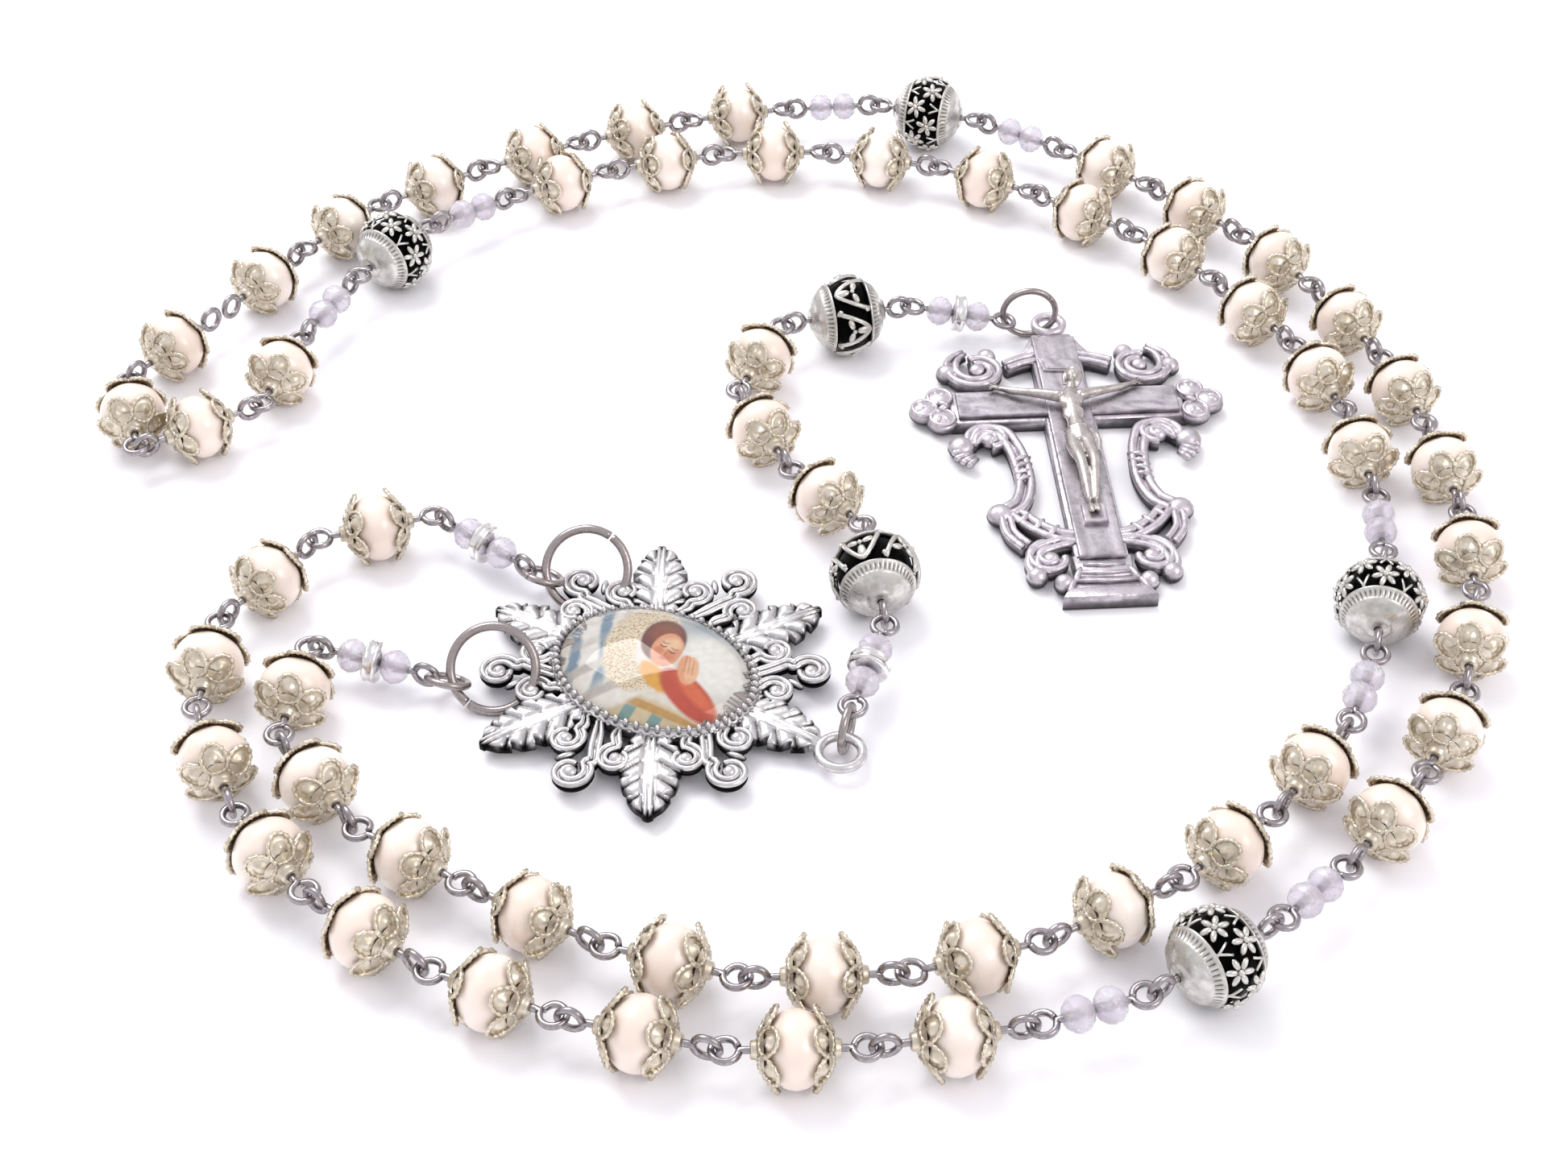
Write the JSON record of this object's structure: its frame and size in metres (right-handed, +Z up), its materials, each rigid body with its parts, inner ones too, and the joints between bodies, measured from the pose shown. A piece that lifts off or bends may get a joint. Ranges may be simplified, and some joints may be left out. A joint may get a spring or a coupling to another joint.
{
  "type": "rosary",
  "caption": "Rosary of capped pearls on linked wire eyes, with openwork silver beads, a domed picture medal with leaf and scroll rays, and a hanging crucifix.",
  "frame": {"origin": "on the table under the middle of the laid-out rosary", "axes": "+Z up from the table, +Y away from the viewer along the longer side of the doubled loop, +X to the right"},
  "size_m": [0.1756, 0.1816, 0.0105],
  "materials": {
    "antique_silver": "cast antique silver with blackened recesses",
    "bead_silver": "openwork antique silver",
    "crucifix_silver": "cast, matte grit with darkened recesses",
    "ring_steel": "bright drawn wire",
    "pearls_and_caps": "soft pearl lustre with champagne silver caps",
    "accent_beads": "frosted faceted glass with a silver disc",
    "spacer_beads": "frosted faceted glass",
    "picture_print": "printed picture",
    "dome_glass": "clear polished"
  },
  "bodies": {
    "centrepiece": {"medal_frame": "antique_silver", "bezel_cup": "antique_silver", "picture_disc": "picture_print", "glass_dome": "dome_glass"},
    "crucifix": {"crucifix_border": "crucifix_silver", "crucifix_bars": "crucifix_silver", "corpus_figure": "crucifix_silver"},
    "accent_link_a": {"accent_link_a": "accent_beads"},
    "accent_link_b": {"accent_link_b": "accent_beads"},
    "accent_link_crucifix": {"accent_link_crucifix": "accent_beads"},
    "accent_link_tail": {"accent_link_tail": "accent_beads"},
    "crucifix_ring": {"crucifix_ring": "ring_steel"},
    "decade_1_pearls_1_2": {"decade_1_pearls_1_2": "pearls_and_caps"},
    "decade_1_pearls_3_4": {"decade_1_pearls_3_4": "pearls_and_caps"},
    "decade_1_pearls_5_6": {"decade_1_pearls_5_6": "pearls_and_caps"},
    "decade_1_pearls_7_8": {"decade_1_pearls_7_8": "pearls_and_caps"},
    "decade_1_pearls_9_10": {"decade_1_pearls_9_10": "pearls_and_caps"},
    "decade_2_pearls_1_2": {"decade_2_pearls_1_2": "pearls_and_caps"},
    "decade_2_pearls_3_4": {"decade_2_pearls_3_4": "pearls_and_caps"},
    "decade_2_pearls_5_6": {"decade_2_pearls_5_6": "pearls_and_caps"},
    "decade_2_pearls_7_8": {"decade_2_pearls_7_8": "pearls_and_caps"},
    "decade_2_pearls_9_10": {"decade_2_pearls_9_10": "pearls_and_caps"},
    "decade_3_pearls_10_9": {"decade_3_pearls_10_9": "pearls_and_caps"},
    "decade_3_pearls_1_2": {"decade_3_pearls_1_2": "pearls_and_caps"},
    "decade_3_pearls_3_4": {"decade_3_pearls_3_4": "pearls_and_caps"},
    "decade_3_pearls_5_6": {"decade_3_pearls_5_6": "pearls_and_caps"},
    "decade_3_pearls_8_7": {"decade_3_pearls_8_7": "pearls_and_caps"},
    "decade_4_pearls_10_9": {"decade_4_pearls_10_9": "pearls_and_caps"},
    "decade_4_pearls_2_1": {"decade_4_pearls_2_1": "pearls_and_caps"},
    "decade_4_pearls_4_3": {"decade_4_pearls_4_3": "pearls_and_caps"},
    "decade_4_pearls_6_5": {"decade_4_pearls_6_5": "pearls_and_caps"},
    "decade_4_pearls_8_7": {"decade_4_pearls_8_7": "pearls_and_caps"},
    "decade_5_pearls_10_9": {"decade_5_pearls_10_9": "pearls_and_caps"},
    "decade_5_pearls_2_1": {"decade_5_pearls_2_1": "pearls_and_caps"},
    "decade_5_pearls_4_3": {"decade_5_pearls_4_3": "pearls_and_caps"},
    "decade_5_pearls_6_5": {"decade_5_pearls_6_5": "pearls_and_caps"},
    "decade_5_pearls_8_7": {"decade_5_pearls_8_7": "pearls_and_caps"},
    "large_ring_a": {"large_ring_a": "ring_steel"},
    "large_ring_b": {"large_ring_b": "ring_steel"},
    "silver_bead_1": {"silver_bead_1": "bead_silver"},
    "silver_bead_2": {"silver_bead_2": "bead_silver"},
    "silver_bead_3": {"silver_bead_3": "bead_silver"},
    "silver_bead_4": {"silver_bead_4": "bead_silver"},
    "silver_bead_tail_1": {"silver_bead_tail_1": "bead_silver"},
    "silver_bead_tail_2": {"silver_bead_tail_2": "bead_silver"},
    "small_ring_a": {"small_ring_a": "ring_steel"},
    "small_ring_b": {"small_ring_b": "ring_steel"},
    "spacer_link_1": {"spacer_link_1": "spacer_beads"},
    "spacer_link_2": {"spacer_link_2": "spacer_beads"},
    "spacer_link_3": {"spacer_link_3": "spacer_beads"},
    "spacer_link_4": {"spacer_link_4": "spacer_beads"},
    "spacer_link_5": {"spacer_link_5": "spacer_beads"},
    "spacer_link_6": {"spacer_link_6": "spacer_beads"},
    "spacer_link_7": {"spacer_link_7": "spacer_beads"},
    "spacer_link_8": {"spacer_link_8": "spacer_beads"},
    "tail_pearl_1": {"tail_pearl_1": "pearls_and_caps"},
    "tail_pearl_2": {"tail_pearl_2": "pearls_and_caps"},
    "tail_pearl_3": {"tail_pearl_3": "pearls_and_caps"},
    "tail_ring": {"tail_ring": "ring_steel"}
  },
  "joints": [
    {"name": "large_ring_a_pivot", "type": "hinge", "parent": "centrepiece", "child": "large_ring_a", "pos_m": [-0.01907, -0.01735, 0.0021], "axis": [0.5736, 0.8192, 0], "range_deg": [0, 12]},
    {"name": "small_ring_a_pivot", "type": "hinge", "parent": "large_ring_a", "child": "small_ring_a", "pos_m": [-0.02776, -0.01619, 0.00335], "axis": [-0.5736, -0.8192, 0], "range_deg": [0, 20]},
    {"name": "accent_link_a_pivot", "type": "hinge", "parent": "small_ring_a", "child": "accent_link_a", "pos_m": [-0.03024, -0.01445, 0.00335], "axis": [0.5736, 0.8192, 0], "range_deg": [0, 25]},
    {"name": "decade_1_pearls_1_2_pivot", "type": "hinge", "parent": "accent_link_a", "child": "decade_1_pearls_1_2", "pos_m": [-0.04113, -0.00554, 0.00445], "axis": [0.3006, -0.9538, 0], "range_deg": [0, 25]},
    {"name": "decade_1_pearls_3_4_pivot", "type": "hinge", "parent": "decade_1_pearls_1_2", "child": "decade_1_pearls_3_4", "pos_m": [-0.06554, -0.0236, 0.00445], "axis": [-0.9999, 0.0153, 0], "range_deg": [0, 25]},
    {"name": "decade_1_pearls_5_6_pivot", "type": "hinge", "parent": "decade_1_pearls_3_4", "child": "decade_1_pearls_5_6", "pos_m": [-0.05965, -0.05438, 0.00445], "axis": [0.7702, 0.6378, 0], "range_deg": [0, 25]},
    {"name": "decade_1_pearls_7_8_pivot", "type": "hinge", "parent": "decade_1_pearls_5_6", "child": "decade_1_pearls_7_8", "pos_m": [-0.03672, -0.07637, 0.00445], "axis": [-0.3971, -0.9178, 0], "range_deg": [0, 25]},
    {"name": "decade_1_pearls_9_10_pivot", "type": "hinge", "parent": "decade_1_pearls_7_8", "child": "decade_1_pearls_9_10", "pos_m": [-0.00659, -0.08691, 0.00445], "axis": [-0.0264, 0.9997, 0], "range_deg": [0, 25]},
    {"name": "spacer_link_1_pivot", "type": "hinge", "parent": "decade_1_pearls_9_10", "child": "spacer_link_1", "pos_m": [0.02518, -0.08406, 0.00438], "axis": [0.2759, -0.9612, 0], "range_deg": [0, 25]},
    {"name": "silver_bead_1_pivot", "type": "hinge", "parent": "spacer_link_1", "child": "silver_bead_1", "pos_m": [0.03841, -0.08026, 0.00536], "axis": [-0.2759, 0.9612, 0], "range_deg": [0, 25]},
    {"name": "spacer_link_2_pivot", "type": "hinge", "parent": "silver_bead_1", "child": "spacer_link_2", "pos_m": [0.05142, -0.07161, 0.00537], "axis": [0.6926, -0.7213, 0], "range_deg": [0, 25]},
    {"name": "decade_2_pearls_1_2_pivot", "type": "hinge", "parent": "spacer_link_2", "child": "decade_2_pearls_1_2", "pos_m": [0.06135, -0.06207, 0.00439], "axis": [-0.6926, 0.7213, 0], "range_deg": [0, 25]},
    {"name": "decade_2_pearls_3_4_pivot", "type": "hinge", "parent": "decade_2_pearls_1_2", "child": "decade_2_pearls_3_4", "pos_m": [0.07887, -0.03549, 0.00445], "axis": [0.8817, -0.4718, 0], "range_deg": [0, 25]},
    {"name": "decade_2_pearls_5_6_pivot", "type": "hinge", "parent": "decade_2_pearls_3_4", "child": "decade_2_pearls_5_6", "pos_m": [0.08435, -0.0041, 0.00445], "axis": [-0.9963, 0.0863, 0], "range_deg": [0, 25]},
    {"name": "decade_2_pearls_7_8_pivot", "type": "hinge", "parent": "decade_2_pearls_5_6", "child": "decade_2_pearls_7_8", "pos_m": [0.07951, 0.02743, 0.00445], "axis": [0.9759, 0.2183, 0], "range_deg": [0, 25]},
    {"name": "decade_2_pearls_9_10_pivot", "type": "hinge", "parent": "decade_2_pearls_7_8", "child": "decade_2_pearls_9_10", "pos_m": [0.06455, 0.05554, 0.00445], "axis": [-0.8356, -0.5493, 0], "range_deg": [0, 25]},
    {"name": "spacer_link_3_pivot", "type": "hinge", "parent": "decade_2_pearls_9_10", "child": "spacer_link_3", "pos_m": [0.04105, 0.0771, 0.00445], "axis": [0.6228, 0.7824, 0], "range_deg": [0, 25]},
    {"name": "silver_bead_2_pivot", "type": "hinge", "parent": "spacer_link_3", "child": "silver_bead_2", "pos_m": [0.03061, 0.08296, 0.0053], "axis": [-0.289, -0.9573, 0], "range_deg": [0, 25]},
    {"name": "spacer_link_4_pivot", "type": "hinge", "parent": "silver_bead_2", "child": "spacer_link_4", "pos_m": [0.01396, 0.08799, 0.0053], "axis": [0.289, 0.9573, 0], "range_deg": [0, 25]},
    {"name": "decade_3_pearls_1_2_pivot", "type": "hinge", "parent": "spacer_link_4", "child": "decade_3_pearls_1_2", "pos_m": [0.00196, 0.08811, 0.00445], "axis": [0.2135, -0.9769, 0], "range_deg": [0, 25]},
    {"name": "decade_3_pearls_3_4_pivot", "type": "hinge", "parent": "decade_3_pearls_1_2", "child": "decade_3_pearls_3_4", "pos_m": [-0.02862, 0.07909, 0.00445], "axis": [-0.4552, 0.8904, 0], "range_deg": [0, 25]},
    {"name": "decade_3_pearls_5_6_pivot", "type": "hinge", "parent": "decade_3_pearls_3_4", "child": "decade_3_pearls_5_6", "pos_m": [-0.05633, 0.06317, 0.00445], "axis": [0.7648, -0.6442, 0], "range_deg": [0, 25]},
    {"name": "large_ring_b_pivot", "type": "hinge", "parent": "centrepiece", "child": "large_ring_b", "pos_m": [-0.02888, -0.03435, 0.0021], "axis": [0.3584, 0.9336, 0], "range_deg": [0, 20]},
    {"name": "small_ring_b_pivot", "type": "hinge", "parent": "large_ring_b", "child": "small_ring_b", "pos_m": [-0.0374, -0.03357, 0.00293], "axis": [-0.3584, -0.9336, 0], "range_deg": [0, 20]},
    {"name": "accent_link_b_pivot", "type": "hinge", "parent": "small_ring_b", "child": "accent_link_b", "pos_m": [-0.04024, -0.03248, 0.00293], "axis": [0.3584, 0.9336, 0], "range_deg": [0, 25]},
    {"name": "decade_5_pearls_10_9_pivot", "type": "hinge", "parent": "accent_link_b", "child": "decade_5_pearls_10_9", "pos_m": [-0.05425, -0.02794, 0.00445], "axis": [0.9948, -0.1016, 0], "range_deg": [0, 25]},
    {"name": "decade_5_pearls_8_7_pivot", "type": "hinge", "parent": "decade_5_pearls_10_9", "child": "decade_5_pearls_8_7", "pos_m": [-0.04639, -0.05677, 0.00445], "axis": [-0.54, -0.8416, 0], "range_deg": [0, 25]},
    {"name": "decade_5_pearls_6_5_pivot", "type": "hinge", "parent": "decade_5_pearls_8_7", "child": "decade_5_pearls_6_5", "pos_m": [-0.01902, -0.07328, 0.00445], "axis": [0.2829, 0.9591, 0], "range_deg": [0, 25]},
    {"name": "decade_5_pearls_4_3_pivot", "type": "hinge", "parent": "decade_5_pearls_6_5", "child": "decade_5_pearls_4_3", "pos_m": [0.01232, -0.07746, 0.00445], "axis": [0.2817, -0.9595, 0], "range_deg": [0, 25]},
    {"name": "decade_5_pearls_2_1_pivot", "type": "hinge", "parent": "decade_5_pearls_4_3", "child": "decade_5_pearls_2_1", "pos_m": [0.04175, -0.0654, 0.00445], "axis": [-0.6456, 0.7637, 0], "range_deg": [0, 25]},
    {"name": "spacer_link_8_pivot", "type": "hinge", "parent": "decade_5_pearls_2_1", "child": "spacer_link_8", "pos_m": [0.06397, -0.04259, 0.00439], "axis": [0.9193, -0.3935, 0], "range_deg": [0, 25]},
    {"name": "silver_bead_4_pivot", "type": "hinge", "parent": "spacer_link_8", "child": "silver_bead_4", "pos_m": [0.06938, -0.02993, 0.00536], "axis": [-0.9193, 0.3935, 0], "range_deg": [0, 25]},
    {"name": "spacer_link_7_pivot", "type": "hinge", "parent": "silver_bead_4", "child": "spacer_link_7", "pos_m": [0.07278, -0.01472, 0.00536], "axis": [0.9942, -0.1072, 0], "range_deg": [0, 25]},
    {"name": "decade_4_pearls_10_9_pivot", "type": "hinge", "parent": "spacer_link_7", "child": "decade_4_pearls_10_9", "pos_m": [0.07426, -0.00103, 0.00439], "axis": [-0.9942, 0.1072, 0], "range_deg": [0, 25]},
    {"name": "decade_4_pearls_8_7_pivot", "type": "hinge", "parent": "decade_4_pearls_10_9", "child": "decade_4_pearls_8_7", "pos_m": [0.06823, 0.03013, 0.00445], "axis": [0.9513, 0.3081, 0], "range_deg": [0, 25]},
    {"name": "decade_4_pearls_6_5_pivot", "type": "hinge", "parent": "decade_4_pearls_8_7", "child": "decade_4_pearls_6_5", "pos_m": [0.04931, 0.05575, 0.00445], "axis": [-0.7477, -0.664, 0], "range_deg": [0, 25]},
    {"name": "decade_4_pearls_4_3_pivot", "type": "hinge", "parent": "decade_4_pearls_6_5", "child": "decade_4_pearls_4_3", "pos_m": [0.02221, 0.07247, 0.00445], "axis": [0.4444, 0.8958, 0], "range_deg": [0, 25]},
    {"name": "decade_4_pearls_2_1_pivot", "type": "hinge", "parent": "decade_4_pearls_4_3", "child": "decade_4_pearls_2_1", "pos_m": [-0.00937, 0.0755, 0.00445], "axis": [0.0328, -0.9995, 0], "range_deg": [0, 25]},
    {"name": "spacer_link_6_pivot", "type": "hinge", "parent": "decade_4_pearls_2_1", "child": "spacer_link_6", "pos_m": [-0.03906, 0.064, 0.00445], "axis": [-0.4471, 0.8945, 0], "range_deg": [0, 25]},
    {"name": "silver_bead_3_pivot", "type": "hinge", "parent": "spacer_link_6", "child": "silver_bead_3", "pos_m": [-0.0485, 0.0566, 0.0053], "axis": [0.8148, -0.5797, 0], "range_deg": [0, 25]},
    {"name": "spacer_link_5_pivot", "type": "hinge", "parent": "silver_bead_3", "child": "spacer_link_5", "pos_m": [-0.05859, 0.04243, 0.0053], "axis": [-0.8148, 0.5797, 0], "range_deg": [0, 25]},
    {"name": "decade_3_pearls_10_9_pivot", "type": "hinge", "parent": "spacer_link_5", "child": "decade_3_pearls_10_9", "pos_m": [-0.06354, 0.03153, 0.00445], "axis": [0.9745, -0.2244, 0], "range_deg": [0, 25]},
    {"name": "decade_3_pearls_8_7_pivot", "type": "hinge", "parent": "decade_3_pearls_10_9", "child": "decade_3_pearls_8_7", "pos_m": [-0.08128, 0.0062, 0.00445], "axis": [0.968, 0.251, 0], "range_deg": [0, 12]},
    {"name": "tail_ring_pivot", "type": "hinge", "parent": "centrepiece", "child": "tail_ring", "pos_m": [0.00771, -0.04134, 0.00195], "axis": [-0.9613, 0.2756, 0], "range_deg": [0, 15]},
    {"name": "accent_link_tail_pivot", "type": "hinge", "parent": "tail_ring", "child": "accent_link_tail", "pos_m": [0.00806, -0.04001, 0.00412], "axis": [0.9513, -0.3084, 0], "range_deg": [0, 25]},
    {"name": "silver_bead_tail_1_pivot", "type": "hinge", "parent": "accent_link_tail", "child": "silver_bead_tail_1", "pos_m": [0.01285, -0.02522, 0.00537], "axis": [-0.9513, 0.3084, 0], "range_deg": [0, 25]},
    {"name": "tail_pearl_1_pivot", "type": "hinge", "parent": "silver_bead_tail_1", "child": "tail_pearl_1", "pos_m": [0.01104, -0.00955, 0.00535], "axis": [0.7958, 0.6056, 0], "range_deg": [0, 25]},
    {"name": "tail_pearl_2_pivot", "type": "hinge", "parent": "tail_pearl_1", "child": "tail_pearl_2", "pos_m": [0.00082, 0.00388, 0.0044], "axis": [-0.7958, -0.6056, 0], "range_deg": [0, 25]},
    {"name": "tail_pearl_3_pivot", "type": "hinge", "parent": "tail_pearl_2", "child": "tail_pearl_3", "pos_m": [-0.00576, 0.01779, 0.0044], "axis": [0.9157, -0.4019, 0], "range_deg": [0, 25]},
    {"name": "silver_bead_tail_2_pivot", "type": "hinge", "parent": "tail_pearl_3", "child": "silver_bead_tail_2", "pos_m": [0.00102, 0.03324, 0.00535], "axis": [-0.9157, 0.4019, 0], "range_deg": [0, 25]},
    {"name": "accent_link_crucifix_pivot", "type": "hinge", "parent": "silver_bead_tail_2", "child": "accent_link_crucifix", "pos_m": [0.01666, 0.0365, 0.00548], "axis": [0.0133, -0.9999, 0], "range_deg": [0, 25]},
    {"name": "crucifix_ring_pivot", "type": "hinge", "parent": "accent_link_crucifix", "child": "crucifix_ring", "pos_m": [0.03195, 0.0367, 0.00241], "axis": [-0.0133, 0.9999, 0], "range_deg": [0, 25]},
    {"name": "crucifix_pivot", "type": "hinge", "parent": "crucifix_ring", "child": "crucifix", "pos_m": [0.03674, 0.03677, 0.00195], "axis": [-0.9999, -0.0133, 0], "range_deg": [0, 30]}
  ]
}
